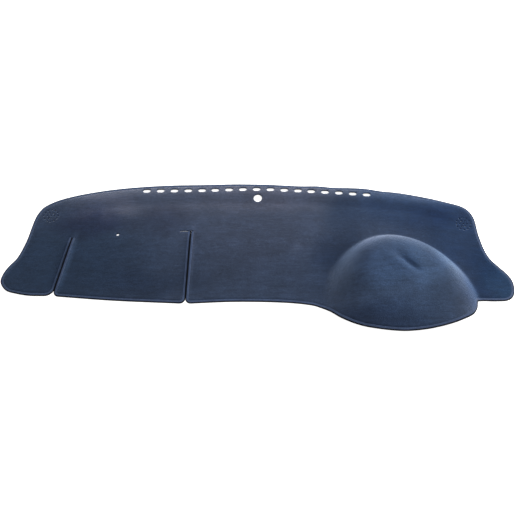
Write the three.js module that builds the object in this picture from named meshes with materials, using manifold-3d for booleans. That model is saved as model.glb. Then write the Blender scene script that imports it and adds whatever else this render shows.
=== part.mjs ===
// Dashboard cover mat: one sheet of short-pile carpet, moulded to a car dashboard and taped round its edge.
// A hood covers the instruments. Demister slots run along the windscreen side, with round holes for the
// sun sensor, a warning lamp and the two tweeters. Two slits free a flap over the airbag lid.
// Millimetres. The mat lies on a flat surface: +X to the driver's end, +Y to the windscreen and +Z up.
// The origin is on that surface, under the middle of the mat.

import * as THREE from 'three';
import { mergeVertices } from 'three/addons/utils/BufferGeometryUtils.js';
import Module from 'manifold-3d';

const wasm = await Module();
wasm.setup();

// Overall size. Places marked as shares are parts of half this width and half this depth.
const MAT_WIDTH = 1449;
const MAT_DEPTH = 524;

// Carpet and edge tape
const CARPET_THICKNESS = 4.5;
const TAPE_THICKNESS = 0.7;
const TAPE_LEG = 8;
const CLEARANCE = 0.3;

// Slits on both sides of the airbag flap, each from its mouth in the front edge to its top, as shares
const SLIT_GAP = 0.6;
const LEFT_SLIT = { mouth: [-0.79, -0.511], top: [-0.743, 0.229] };
const RIGHT_SLIT = { mouth: [-0.276, -0.603], top: [-0.266, 0.298] };
const WING_CORNER = 24;
const FLAP_CORNER = 16;
const END_CUT_LENGTH = 39;
const END_CUT_WIDTH = 2.6;
const END_CUT_RIGHT = 8;

// The outline, anticlockwise, as shares: points on smooth lines between the slits
const FLAP_FRONT = [[-0.555, -0.565]];
const FRONT_AND_HOOD_RIM = [
  [-0.094, -0.58], [0.091, -0.588], [0.184, -0.611], [0.229, -0.637], [0.273, -0.702], [0.316, -0.805],
  [0.359, -0.885], [0.402, -0.939], [0.444, -0.969], [0.489, -0.989], [0.552, -1], [0.621, -0.985],
  [0.667, -0.962], [0.715, -0.927], [0.763, -0.874], [0.816, -0.779], [0.841, -0.676], [0.846, -0.618],
];
const RIGHT_WING = [
  [0.849, -0.588], [0.86, -0.573], [0.922, -0.573], [0.969, -0.561], [0.99, -0.515], [1, -0.427],
  [0.998, -0.321], [0.984, -0.24], [0.954, -0.137], [0.926, -0.034], [0.911, 0.073], [0.897, 0.286],
  [0.89, 0.508], [0.872, 0.618], [0.845, 0.679],
];
const REAR_EDGE = [
  [0.78, 0.737], [0.716, 0.786], [0.585, 0.87], [0.519, 0.893], [0.453, 0.931], [0.385, 0.943],
  [0.319, 0.947], [0.251, 0.969], [0.184, 0.969], [0.05, 0.992], [-0.086, 1], [-0.221, 0.989],
  [-0.356, 0.981], [-0.49, 0.954], [-0.622, 0.905], [-0.754, 0.821],
];
const LEFT_WING = [
  [-0.817, 0.767], [-0.849, 0.725], [-0.879, 0.668], [-0.897, 0.592], [-0.908, 0.508], [-0.929, 0.179],
  [-0.954, -0.034], [-0.98, -0.137], [-0.997, -0.24], [-1, -0.336], [-0.974, -0.439], [-0.929, -0.481],
  [-0.882, -0.504],
];

// Hood over the instruments. Its centre, reach, crest and rim are shares.
const HOOD = {
  centre: [0.522, -0.637],
  height: 98,
  reach: { left: 0.29, right: 0.345, back: 0.897, front: 1.321 },
  fullness: { left: 1.55, right: 4, back: 4.25, front: 2 },
  roundness: 1.84,
  crestY: 0.118,
  rimY: -1.458,
  rimShare: 0.36,
};
const DENT = { from: [0.505, -0.118], to: [0.646, -0.424], width: 17, depth: 4 };

// Low arch over the dashboard's front bend, and the bead behind it along the windscreen. They fade out
// towards the ends, so that both wings lie flat. Heights, reaches and fades are in mm, the rest are shares.
const ARCH = { y: 0.286, height: 12, reach: 215 };
const BEAD = { height: 7, reach: 42, middle: 0.84, drop: 0.298, span: 0.93, centre: -0.086 };
const FLAT_WING = { edge: 0.883, blend: 130 };
const ARCH_FADE = { left: 300, right: 200, least: 0.35 };

// Openings, with their places as shares
const SLOT_COUNT = 17;
const SLOT_SIZE = [23, 15];
const SLOT_ROW = [
  [-0.46, 0.882], [-0.232, 0.889], [-0.004, 0.912], [0.115, 0.897], [0.229, 0.874], [0.344, 0.851],
  [0.457, 0.824],
];
const SENSOR_HOLE = { centre: [0.004, 0.775], diameter: 25 };
const LAMP_HOLE = { centre: [-0.56, 0.256], diameter: 8 };
const TWEETER_CENTRES = [[-0.845, 0.542], [0.842, 0.431]];
const TWEETER_HOLE = 3.4;
const TWEETER_RINGS = [[1, 0], [6, 10.5], [12, 21]];

// Share of a square corner at which a cubic curve's handles make a round one
const ROUND = 0.5523;

// Mesh steps
const FINE_STEP = 0.5;
const LONGEST_STEP = 34;
const LARGEST_TURN = THREE.MathUtils.degToRad(18);
const GRID_X = [[-1.021, 0], [0.207, 17], [0.883, 22], [1.021, 2]];
const GRID_Y = [[-1.069, 0], [0.229, 14], [1.069, 7]];
const CUTTER_MARGIN = 50;

const CARPET_COLOUR = '#333f58';
const TAPE_COLOUR = '#2f3b55';

// 0 below the interval, 1 above it and smooth between
function ramp(value, from, to) {
  return THREE.MathUtils.smoothstep(value, from, to);
}

// 1 at 0, falling smoothly to 0 at 1 and beyond on both sides
function bell(distance) {
  return 0.5 + 0.5 * Math.cos(Math.PI * Math.min(Math.abs(distance), 1));
}

// Shares of half the mat's width and half its depth, as a place in mm
function place([shareX, shareY]) {
  return new THREE.Vector3((shareX * MAT_WIDTH) / 2, (shareY * MAT_DEPTH) / 2, 0);
}

// Height of the moulded hood: a lopsided dome, steep towards the driver's end and the windscreen,
// that falls away to its open rim at the front.
function hoodHeight(x, y) {
  const dx = (2 * x) / MAT_WIDTH - HOOD.centre[0];
  const dy = (2 * y) / MAT_DEPTH - HOOD.centre[1];
  const sideX = dx < 0 ? 'left' : 'right';
  const sideY = dy < 0 ? 'front' : 'back';
  const across = Math.abs(dx / HOOD.reach[sideX]) ** HOOD.roundness;
  const along = Math.abs(dy / HOOD.reach[sideY]) ** HOOD.roundness;
  const out = Math.min((across + along) ** (1 / HOOD.roundness), 1);
  const share = across / Math.max(across + along, 1e-9);
  const fullness = THREE.MathUtils.lerp(HOOD.fullness[sideY], HOOD.fullness[sideX], share);
  const fall = ramp((-2 * y) / MAT_DEPTH, -HOOD.crestY, -HOOD.rimY) / ramp(1, -HOOD.crestY, -HOOD.rimY);
  return HOOD.height * (1 - (1 - HOOD.rimShare) * fall) * bell(out ** fullness);
}

// Depth of the long shallow dent in the hood
function dentDepth(x, y) {
  const from = place(DENT.from);
  const run = place(DENT.to).sub(from);
  const length = run.length();
  run.normalize();
  const here = new THREE.Vector3(x, y, 0).sub(from);
  const aside = here.x * run.y - here.y * run.x;
  return DENT.depth * bell(aside / DENT.width) * bell((2 * here.dot(run)) / length - 1);
}

// Height of the bead, a rounded ridge that runs along the windscreen
function beadHeight(x, y) {
  const aside = Math.abs((2 * x) / MAT_WIDTH - BEAD.centre) / BEAD.span;
  const beadY = ((BEAD.middle - BEAD.drop * aside ** 2.7) * MAT_DEPTH) / 2;
  return BEAD.height * bell((y - beadY) / BEAD.reach);
}

// Height of the low forms, flat over both wings
function lowHeight(x, y) {
  const wing = (FLAT_WING.edge * MAT_WIDTH) / 2;
  const middle = ramp(x + wing, 0, ARCH_FADE.left) * ramp(wing - x, 0, ARCH_FADE.right);
  const inner = ramp(x + wing, 0, FLAT_WING.blend) * ramp(wing - x, 0, FLAT_WING.blend);
  const share = THREE.MathUtils.lerp(ARCH_FADE.least, 1, middle);
  const arch = ARCH.height * bell((y - (ARCH.y * MAT_DEPTH) / 2) / ARCH.reach);
  return (arch * share + beadHeight(x, y)) * inner;
}

// Height of the sheet's underside
function underside(x, y) {
  const hood = hoodHeight(x, y);
  const low = lowHeight(x, y) * (1 - (0.7 * hood) / HOOD.height);
  return Math.max(hood + low - dentDepth(x, y), 0);
}

// Height of a layer of the sheet, a true distance above the underside whatever the slope
function layerHeight(x, y, distance) {
  const slopeX = underside(x + 0.5, y) - underside(x - 0.5, y);
  const slopeY = underside(x, y + 0.5) - underside(x, y - 0.5);
  return underside(x, y) + distance * Math.hypot(1, slopeX, slopeY);
}

// A closed geometry as a solid that can be joined and cut
function toSolid(geometry) {
  const bare = geometry.clone();
  bare.deleteAttribute('normal');
  bare.deleteAttribute('uv');
  const merged = mergeVertices(bare, 1e-4);
  return new wasm.Manifold(new wasm.Mesh({
    numProp: 3,
    vertProperties: merged.attributes.position.array,
    triVerts: new Uint32Array(merged.index.array),
  }));
}

function toGeometry(solid) {
  const { vertProperties, triVerts } = solid.getMesh();
  const geometry = new THREE.BufferGeometry();
  geometry.setAttribute('position', new THREE.BufferAttribute(vertProperties, 3));
  geometry.setIndex(new THREE.BufferAttribute(triVerts, 1));
  geometry.computeVertexNormals();
  return geometry;
}

function smoothLine(points) {
  return new THREE.CatmullRomCurve3(points, false, 'centripetal');
}

// One side of a slit, with the rounded corner that leads it into the front edge.
// side is 1 for the side towards +X, and next is the front edge's next point past the corner.
function slitSide(slit, side, reach, next) {
  const run = place(slit.top).sub(place(slit.mouth)).normalize();
  const shift = new THREE.Vector3(run.y, -run.x, 0).multiplyScalar((side * SLIT_GAP) / 2);
  const mouth = place(slit.mouth).add(shift);
  const top = place(slit.top).add(shift);
  const onSlit = mouth.clone().addScaledVector(run, reach);
  const onFront = mouth.clone().add(next.clone().sub(mouth).setLength(reach));
  const nearSlit = onSlit.clone().lerp(mouth, ROUND);
  const nearFront = onFront.clone().lerp(mouth, ROUND);
  return { top, onSlit, nearSlit, nearFront, onFront };
}

// Stations along a chain of curves, closer together where a curve turns.
// Each has its point, its direction of travel and the vector that carries it 1 mm into the sheet.
function stationsAlong(curves) {
  const points = [curves[0].getPoint(0)];
  for (const curve of curves) {
    const count = Math.ceil(curve.getLength() / FINE_STEP);
    const marks = [0];
    for (let i = 1; i <= count; i += 1) {
      const turn = curve.getTangentAt(i / count).angleTo(curve.getTangentAt((i - 1) / count));
      marks.push(marks[i - 1] + curve.getLength() / count / LONGEST_STEP + turn / LARGEST_TURN);
    }
    const steps = Math.ceil(marks[count]);
    for (let step = 1; step <= steps; step += 1) {
      const i = marks.findIndex((mark) => mark >= (step / steps) * marks[count] - 1e-9);
      points.push(curve.getPointAt(i / count));
    }
  }
  return points.map((here, i) => {
    const before = here.clone().sub(points[Math.max(i - 1, 0)]).normalize();
    const after = points[Math.min(i + 1, points.length - 1)].clone().sub(here).normalize();
    const first = i === 0 ? after : before;
    const last = i === points.length - 1 ? before : after;
    const along = first.clone().add(last).normalize();
    const inward = new THREE.Vector3(-along.y, along.x, 0).divideScalar(along.dot(first));
    return { here, along, inward };
  });
}

// The stations' points moved into the sheet, and the two ends moved on past the slit's top
function insetLine(stations, distance, overrun) {
  return stations.map(({ here, along, inward }, i) => {
    const past = (i === stations.length - 1) - (i === 0);
    return here.clone().addScaledVector(inward, distance).addScaledVector(along, past * overrun);
  });
}

// A strip of constant section laid along the stations, straight across its width at each of them.
// The section is anticlockwise: its first coordinate runs into the sheet, its second up from the underside.
// Every face is folded from its outer edge at one station to its inner edge at the next, so that two
// strips that face each other stay the same distance apart where the sheet twists.
function stripGeometry(section, stations, overrun) {
  const outer = insetLine(stations, 0, overrun);
  const inner = insetLine(stations, TAPE_LEG, overrun);
  const places = stations.flatMap((_, i) => section.map(([inset, up]) => {
    const from = outer[i].clone().setZ(layerHeight(outer[i].x, outer[i].y, up));
    const to = inner[i].clone().setZ(layerHeight(inner[i].x, inner[i].y, up));
    return from.lerp(to, inset / TAPE_LEG);
  }));
  const size = section.length;
  const last = places.length - size;
  const contour = section.map(([inset, up]) => new THREE.Vector2(inset, up));
  const triangles = [];
  for (const [a, b, c] of THREE.ShapeUtils.triangulateShape(contour, [])) {
    triangles.push(c, b, a, last + a, last + b, last + c);
  }
  for (let start = 0; start < last; start += size) {
    for (let side = 0; side < size; side += 1) {
      const next = (side + 1) % size;
      const [a, b, c, d] = [start + side, start + next, start + size + next, start + size + side];
      const inwards = section[next][0] > section[side][0];
      triangles.push(...(inwards ? [a, b, c, a, c, d] : [a, b, d, b, c, d]));
    }
  }
  return new THREE.BufferGeometry().setFromPoints(places).setIndex(triangles);
}

// Grid lines between stops, each stop giving the number of cells that lead up to it
function gridLines(stops) {
  const lines = [stops[0][0]];
  for (const [i, [end, cells]] of stops.slice(1).entries()) {
    const start = stops[i][0];
    for (let cell = 1; cell <= cells; cell += 1) {
      lines.push(THREE.MathUtils.lerp(start, end, cell / cells));
    }
  }
  return lines;
}

// A block of carpet larger than the mat, moulded to the full shape
function mouldedBlank() {
  const xs = gridLines(GRID_X).map((share) => (share * MAT_WIDTH) / 2);
  const ys = gridLines(GRID_Y).map((share) => (share * MAT_DEPTH) / 2);
  const columns = xs.length - 1;
  const rows = ys.length - 1;
  const blank = new THREE.BoxGeometry(1, 1, 1, columns, rows, 1);
  const corners = blank.attributes.position;
  for (let i = 0; i < corners.count; i += 1) {
    const x = xs[Math.round((corners.getX(i) + 0.5) * columns)];
    const y = ys[Math.round((corners.getY(i) + 0.5) * rows)];
    corners.setXYZ(i, x, y, layerHeight(x, y, corners.getZ(i) > 0 ? CARPET_THICKNESS : 0));
  }
  return toSolid(blank);
}

// An upright cutter through the whole height of the mat
function upright(outline) {
  const shape = new THREE.Shape(outline.map(({ x, y }) => new THREE.Vector2(x, y)));
  const depth = HOOD.height + CARPET_THICKNESS + 2 * CUTTER_MARGIN;
  const cutter = new THREE.ExtrudeGeometry(shape, { depth, bevelEnabled: false });
  return toSolid(cutter.translate(0, 0, -CUTTER_MARGIN));
}

function roundHole({ x, y }, diameter, sides) {
  const corners = [];
  for (let i = 0; i < sides; i += 1) {
    const angle = (2 * Math.PI * (i + 0.5)) / sides;
    const across = (diameter / 2) * Math.cos(angle);
    const along = (diameter / 2) * Math.sin(angle);
    corners.push(new THREE.Vector2(x + across, y + along));
  }
  return upright(corners);
}

// A demister slot: two half circles joined by straight sides
function slotHole(x, y) {
  const [length, width] = SLOT_SIZE;
  const corners = [];
  for (let i = 0; i < 12; i += 1) {
    const angle = (2 * Math.PI * (i + 0.5)) / 12;
    const end = Math.sign(Math.cos(angle)) * ((length - width) / 2);
    const across = end + (width / 2) * Math.cos(angle);
    const along = (width / 2) * Math.sin(angle);
    corners.push(new THREE.Vector2(x + across, y + along));
  }
  return upright(corners);
}

function endCut() {
  const { x, y } = place(RIGHT_SLIT.top);
  const right = x + END_CUT_RIGHT;
  const left = right - END_CUT_LENGTH;
  const far = y + END_CUT_WIDTH;
  const corners = [[left, y], [right, y], [right, far], [left, far]];
  return upright(corners.map((corner) => new THREE.Vector2(...corner)));
}

function openingCutters() {
  const cutters = [endCut()];
  const row = smoothLine(SLOT_ROW.map(place));
  for (let i = 0; i < SLOT_COUNT; i += 1) {
    const { x, y } = row.getPointAt(i / (SLOT_COUNT - 1));
    cutters.push(slotHole(x, y));
  }
  cutters.push(roundHole(place(SENSOR_HOLE.centre), SENSOR_HOLE.diameter, 16));
  cutters.push(roundHole(place(LAMP_HOLE.centre), LAMP_HOLE.diameter, 10));
  for (const centre of TWEETER_CENTRES.map(place)) {
    for (const [count, radius] of TWEETER_RINGS) {
      for (let i = 0; i < count; i += 1) {
        const angle = (2 * Math.PI * i) / count;
        const shift = new THREE.Vector3(radius * Math.cos(angle), radius * Math.sin(angle), 0);
        cutters.push(roundHole(centre.clone().add(shift), TWEETER_HOLE, 6));
      }
    }
  }
  return cutters;
}

// Outer edge: right slit, front edge and hood rim, right wing, rear edge, left wing, left slit
function edgeStations() {
  const round = [...FRONT_AND_HOOD_RIM, ...RIGHT_WING, ...REAR_EDGE, ...LEFT_WING].map(place);
  const start = slitSide(RIGHT_SLIT, 1, FLAP_CORNER, round[0]);
  const finish = slitSide(LEFT_SLIT, -1, WING_CORNER, round.at(-1));
  return stationsAlong([
    new THREE.LineCurve3(start.top, start.onSlit),
    new THREE.CubicBezierCurve3(start.onSlit, start.nearSlit, start.nearFront, start.onFront),
    smoothLine([start.onFront, ...round, finish.onFront]),
    new THREE.CubicBezierCurve3(finish.onFront, finish.nearFront, finish.nearSlit, finish.onSlit),
    new THREE.LineCurve3(finish.onSlit, finish.top),
  ]);
}

// Edge of the airbag flap: down the left slit, along the front and up the right slit
function flapStations() {
  const front = FLAP_FRONT.map(place);
  const start = slitSide(LEFT_SLIT, 1, FLAP_CORNER, front[0]);
  const finish = slitSide(RIGHT_SLIT, -1, FLAP_CORNER, front.at(-1));
  return stationsAlong([
    new THREE.LineCurve3(start.top, start.onSlit),
    new THREE.CubicBezierCurve3(start.onSlit, start.nearSlit, start.nearFront, start.onFront),
    smoothLine([start.onFront, ...front, finish.onFront]),
    new THREE.CubicBezierCurve3(finish.onFront, finish.nearFront, finish.nearSlit, finish.onSlit),
    new THREE.LineCurve3(finish.onSlit, finish.top),
  ]);
}

// The carpet: full thickness inside the tape's legs, and squeezed thinner where the tape grips it
function carpetPanel(edge, flap) {
  const shoulder = TAPE_LEG + CLEARANCE;
  const body = [...insetLine(edge, shoulder, CLEARANCE), ...insetLine(flap, shoulder, CLEARANCE)];
  const low = TAPE_THICKNESS + CLEARANCE;
  const high = CARPET_THICKNESS - low;
  const rim = [[low, low], [shoulder + 1, low], [shoulder + 1, high], [low, high]];
  let panel = mouldedBlank().intersect(upright(body));
  for (const stations of [edge, flap]) {
    panel = panel.add(toSolid(stripGeometry(rim, stations, 1)));
  }
  for (const cutter of openingCutters()) {
    panel = panel.subtract(cutter);
  }
  return toGeometry(panel);
}

// The edge tape: a U folded over the squeezed rim, flush with the carpet on both faces
function tape(stations) {
  const top = CARPET_THICKNESS;
  const fold = TAPE_THICKNESS;
  const section = [
    [0, 0], [TAPE_LEG, 0], [TAPE_LEG, fold], [fold, fold],
    [fold, top - fold], [TAPE_LEG, top - fold], [TAPE_LEG, top], [0, top],
  ];
  return toGeometry(toSolid(stripGeometry(section, stations, 0)));
}

function cloth(name, geometry, colour) {
  const material = new THREE.MeshStandardMaterial({ color: colour, roughness: 1, metalness: 0 });
  const mesh = new THREE.Mesh(geometry, material);
  mesh.name = name;
  return mesh;
}

const edge = edgeStations();
const flap = flapStations();
const group = new THREE.Group();
group.add(cloth('carpet_panel', carpetPanel(edge, flap), CARPET_COLOUR));
group.add(cloth('edge_binding', tape(edge), TAPE_COLOUR));
group.add(cloth('flap_binding', tape(flap), TAPE_COLOUR));

export default group;
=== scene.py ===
"""A dashboard cover mat of navy carpet, moulded, taped and stitched, lying on a pale floor.

The mat's solids come from the frame. This script lays a fine sheet, its edge tape and its stitches over
them, gives each one a procedural cloth, and sets the floor, the light and the camera of the photograph.
All sizes are in metres, and places on the mat are shares of its half width and half depth.
"""

import logging
import math
from dataclasses import dataclass
from enum import Enum, IntEnum

import bpy
import numpy as np
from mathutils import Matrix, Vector
from mathutils.geometry import delaunay_2d_cdt


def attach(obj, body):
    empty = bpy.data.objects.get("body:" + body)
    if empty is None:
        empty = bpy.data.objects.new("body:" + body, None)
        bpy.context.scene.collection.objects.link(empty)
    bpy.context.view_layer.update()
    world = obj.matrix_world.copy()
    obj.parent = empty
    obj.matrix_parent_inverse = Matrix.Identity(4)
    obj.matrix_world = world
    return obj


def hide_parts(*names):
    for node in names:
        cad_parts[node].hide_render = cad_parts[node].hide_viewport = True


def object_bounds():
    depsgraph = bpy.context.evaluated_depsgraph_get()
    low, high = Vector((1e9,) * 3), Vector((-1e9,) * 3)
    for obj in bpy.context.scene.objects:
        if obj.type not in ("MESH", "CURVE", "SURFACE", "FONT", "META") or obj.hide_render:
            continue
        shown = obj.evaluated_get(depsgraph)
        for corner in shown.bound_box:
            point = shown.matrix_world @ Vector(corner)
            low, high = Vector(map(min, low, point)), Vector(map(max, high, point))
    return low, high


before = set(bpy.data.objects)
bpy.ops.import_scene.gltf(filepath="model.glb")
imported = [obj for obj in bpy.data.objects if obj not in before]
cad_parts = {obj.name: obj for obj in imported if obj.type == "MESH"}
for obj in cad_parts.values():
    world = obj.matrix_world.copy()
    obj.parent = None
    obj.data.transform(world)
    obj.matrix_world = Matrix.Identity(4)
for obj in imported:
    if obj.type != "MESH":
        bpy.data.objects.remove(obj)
CAD_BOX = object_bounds()

log = logging.getLogger("dashboard_mat")
Points = np.ndarray
Socket = bpy.types.NodeSocket
Place = tuple[float, float]
Line = tuple[Place, Place]
Triple = tuple[float, float, float]

HALF_WIDTH = (CAD_BOX[1][0] - CAD_BOX[0][0]) / 2
HALF_DEPTH = (CAD_BOX[1][1] - CAD_BOX[0][1]) / 2
TINY = 1e-9
SHARP_ANGLE = math.radians(50)
TAPE_MAP = "tape"
# Each slit's mouth in the front edge, and its top.
LEFT_SLIT = ((-0.790, -0.511), (-0.743, 0.229))
RIGHT_SLIT = ((-0.276, -0.603), (-0.266, 0.298))


class Slot(Enum):
    """The record's material slots."""

    CARPET = "carpet"
    TAPE = "edge_tape"


def spot(places: list[Place]) -> Points:
    """Turns places on the mat into metres.

    Args:
        places: Shares of the half width and half depth.

    Returns:
        One row of x and y for each place.
    """
    return np.array(places, dtype=float) * (HALF_WIDTH, HALF_DEPTH)


def ramp(value: Points, start: float, end: float) -> Points:
    """Rises smoothly from 0 at start to 1 at end.

    Args:
        value: The values to look up.
        start: Where the ramp leaves 0.
        end: Where the ramp reaches 1.

    Returns:
        The ramp's height at each value.
    """
    share = np.clip((value - start) / (end - start), 0, 1)
    return share * share * (3 - 2 * share)


def bell(distance: Points) -> Points:
    """Falls smoothly from 1 at 0 to 0 at 1 and beyond, on both sides.

    Args:
        distance: Distances as shares of the bell's reach.

    Returns:
        The bell's height at each distance.
    """
    return 0.5 + 0.5 * np.cos(np.pi * np.minimum(np.abs(distance), 1))


def follow(line: Line, x: Points, y: Points) -> tuple[float, Points, Points]:
    """Measures places from a straight line on the mat.

    Args:
        line: The line's start and end.
        x: Places across the mat.
        y: Places along the mat.

    Returns:
        The line's length, how far along it each place is, and how far to its right.
    """
    start, end = spot(list(line))
    length = float(np.hypot(*(end - start)))
    run = (end - start) / length
    along = (x - start[0]) * run[0] + (y - start[1]) * run[1]
    aside = (x - start[0]) * run[1] - (y - start[1]) * run[0]
    return length, along, aside


@dataclass(frozen=True)
class Cloth:
    """Thicknesses of the carpet and of its edge tape."""

    carpet: float = 0.0045
    tape: float = 0.0007
    leg: float = 0.008
    clearance: float = 0.0003

    @property
    def low(self) -> float:
        """Returns: How far in, and up, the carpet squeezed in the tape starts."""
        return self.tape + self.clearance


@dataclass(frozen=True)
class Hood:
    """The moulded dome over the instruments.

    Left, right, back and front are its reach, and each full value says how full it is that way. Its top
    sinks from crest_y towards the driver, and rim_share of its height is left at rim_y.
    """

    centre: Place = (0.522, -0.637)
    height: float = 0.098
    left: float = 0.21
    right: float = 0.25
    back: float = 0.235
    front: float = 0.346
    full_left: float = 1.55
    full_right: float = 4.0
    full_back: float = 4.25
    full_front: float = 2.0
    roundness: float = 1.84
    crest_y: float = 0.031
    rim_y: float = -0.382
    rim_share: float = 0.36

    def rise(self, x: Points, y: Points) -> Points:
        """Gives the dome's height above the mat's flat.

        Args:
            x: Places across the mat.
            y: Places along the mat.

        Returns:
            The height at each place.
        """
        centre = spot([self.centre])[0]
        dx = x - centre[0]
        dy = y - centre[1]
        across = np.abs(dx / np.where(dx < 0, self.left, self.right)) ** self.roundness
        along = np.abs(dy / np.where(dy < 0, self.front, self.back)) ** self.roundness
        out = np.minimum((across + along) ** (1 / self.roundness), 1)
        share = across / np.maximum(across + along, TINY)
        full_x = np.where(dx < 0, self.full_left, self.full_right)
        full_y = np.where(dy < 0, self.full_front, self.full_back)
        fullness = full_y + (full_x - full_y) * share
        whole = ramp(np.array(HALF_DEPTH), -self.crest_y, -self.rim_y)
        falling = ramp(-y, -self.crest_y, -self.rim_y) / whole
        return self.height * (1 - (1 - self.rim_share) * falling) * bell(out**fullness)


@dataclass(frozen=True)
class Crease:
    """A long shallow dent, or a ridge where its depth is negative."""

    line: Line
    width: float
    depth: float

    def sink(self, x: Points, y: Points) -> Points:
        """Gives the crease's depth.

        Args:
            x: Places across the mat.
            y: Places along the mat.

        Returns:
            How far the sheet sinks at each place.
        """
        length, along, aside = follow(self.line, x, y)
        return self.depth * bell(aside / self.width) * bell(2 * along / length - 1)


@dataclass(frozen=True)
class Lip:
    """A slit's side towards the driver's end, turned up a little along the cut.

    It rises over the first share of the slit, foot, and sinks again past the share head.
    """

    line: Line
    height: float
    reach: float
    foot: float = 0.25
    head: float = 0.85

    def rise(self, x: Points, y: Points) -> Points:
        """Gives the lip's height.

        Args:
            x: Places across the mat.
            y: Places along the mat.

        Returns:
            How far the sheet rises at each place.
        """
        length, along, aside = follow(self.line, x, y)
        share = along / length
        across = np.where(aside > 0, 1 - ramp(aside, 0, self.reach), 0)
        return self.height * across * ramp(share, 0.0, self.foot) * ramp(-share, -1.0, -self.head)


@dataclass(frozen=True)
class Moulding:
    """The whole sheet's moulded form: hood, low arch, bead along the windscreen and small hollows.

    The arch runs across the mat at arch_y and fades to arch_least of its height towards the wings. The bead
    bends forward by bead_drop at its ends. Both end before the flat wings and sink by fade_in_hood under
    the hood.
    """

    hood: Hood = Hood()
    lips: tuple[Lip, ...] = (Lip(LEFT_SLIT, 0.0026, 0.018), Lip(RIGHT_SLIT, 0.0022, 0.014))
    dents: tuple[Crease, ...] = (
        Crease(((0.505, -0.118), (0.646, -0.424)), 0.021, 0.0048),
        Crease(((0.454, -0.092), (0.594, -0.424)), 0.026, -0.0018),
        Crease(((0.259, 0.115), (0.286, -0.62)), 0.03, 0.0028),
        Crease(((0.238, 0.24), (0.224, -0.15)), 0.02, -0.0016),
    )
    arch_y: float = 0.075
    arch_height: float = 0.012
    arch_reach: float = 0.215
    arch_least: float = 0.35
    arch_left: float = 0.300
    arch_right: float = 0.200
    bead_height: float = 0.007
    bead_reach: float = 0.042
    bead_middle: float = 0.220
    bead_drop: float = 0.078
    bead_span: float = 0.674
    bead_centre: float = -0.062
    bead_bend: float = 2.7
    flat_wing: float = 0.640
    wing_blend: float = 0.130
    fade_in_hood: float = 0.7
    slope_step: float = 0.0005

    def underside(self, x: Points, y: Points) -> Points:
        """Gives the height of the sheet's underside.

        Args:
            x: Places across the mat.
            y: Places along the mat.

        Returns:
            The height at each place.
        """
        middle = self._between_wings(x, self.arch_left, self.arch_right)
        arch = self.arch_height * bell((y - self.arch_y) / self.arch_reach)
        arch = arch * (self.arch_least + (1 - self.arch_least) * middle)
        bend = np.abs((x - self.bead_centre) / self.bead_span) ** self.bead_bend
        bead_y = self.bead_middle - self.bead_drop * bend
        bead = self.bead_height * bell((y - bead_y) / self.bead_reach)
        inner = self._between_wings(x, self.wing_blend, self.wing_blend)
        hood = self.hood.rise(x, y)
        low = (arch + bead) * inner * (1 - self.fade_in_hood * hood / self.hood.height)
        sink = sum(dent.sink(x, y) for dent in self.dents)
        lift = sum(lip.rise(x, y) for lip in self.lips)
        return np.maximum(hood + low + lift - sink, 0)

    def layer(self, x: Points, y: Points, distance: Points) -> Points:
        """Gives the height of a layer of the sheet, whatever its slope.

        Args:
            x: Places across the mat.
            y: Places along the mat.
            distance: True distance of the layer above the underside.

        Returns:
            The height at each place.
        """
        step = self.slope_step
        slope_x = (self.underside(x + step, y) - self.underside(x - step, y)) / (2 * step)
        slope_y = (self.underside(x, y + step) - self.underside(x, y - step)) / (2 * step)
        return self.underside(x, y) + distance * np.sqrt(1 + slope_x**2 + slope_y**2)

    def _between_wings(self, x: Points, left: float, right: float) -> Points:
        """Rises from 0 at each flat wing to 1 further in.

        Args:
            x: Places across the mat.
            left: How far in from the left wing it reaches 1.
            right: How far in from the right wing it reaches 1.

        Returns:
            The share at each place.
        """
        wing = self.flat_wing
        return ramp(x, -wing, left - wing) * ramp(-x, -wing, right - wing)


@dataclass(frozen=True)
class Slit:
    """A straight cut in from the front edge, drawn all but closed."""

    mouth: Place
    top: Place
    gap: float = 0.00006
    corner_steps: int = 40
    corner_handle: float = 0.5523

    def side(self, towards: int, reach: float, following: Points) -> list[Points]:
        """Gives one side of the slit and the rounded corner at its mouth.

        Args:
            towards: 1 for the side towards the driver's end, -1 for the other.
            reach: How far the corner's rounding reaches.
            following: The front edge's next point past the corner.

        Returns:
            The straight side and the corner, each from the slit's top outwards.
        """
        mouth, top = spot([self.mouth, self.top])
        run = (top - mouth) / np.hypot(*(top - mouth))
        shift = np.array([run[1], -run[0]]) * towards * self.gap / 2
        mouth, top = mouth + shift, top + shift
        out = (following - mouth) / np.hypot(*(following - mouth))
        near = 1 - self.corner_handle
        handles = [mouth + run * reach, mouth + run * reach * near]
        handles += [mouth + out * reach * near, mouth + out * reach]
        t = np.linspace(0, 1, self.corner_steps)[:, None]
        weights = ((1 - t) ** 3, 3 * t * (1 - t) ** 2, 3 * t**2 * (1 - t), t**3)
        corner = sum(weight * handle for weight, handle in zip(weights, handles))
        return [np.array([top, handles[0]]), corner]


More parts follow.
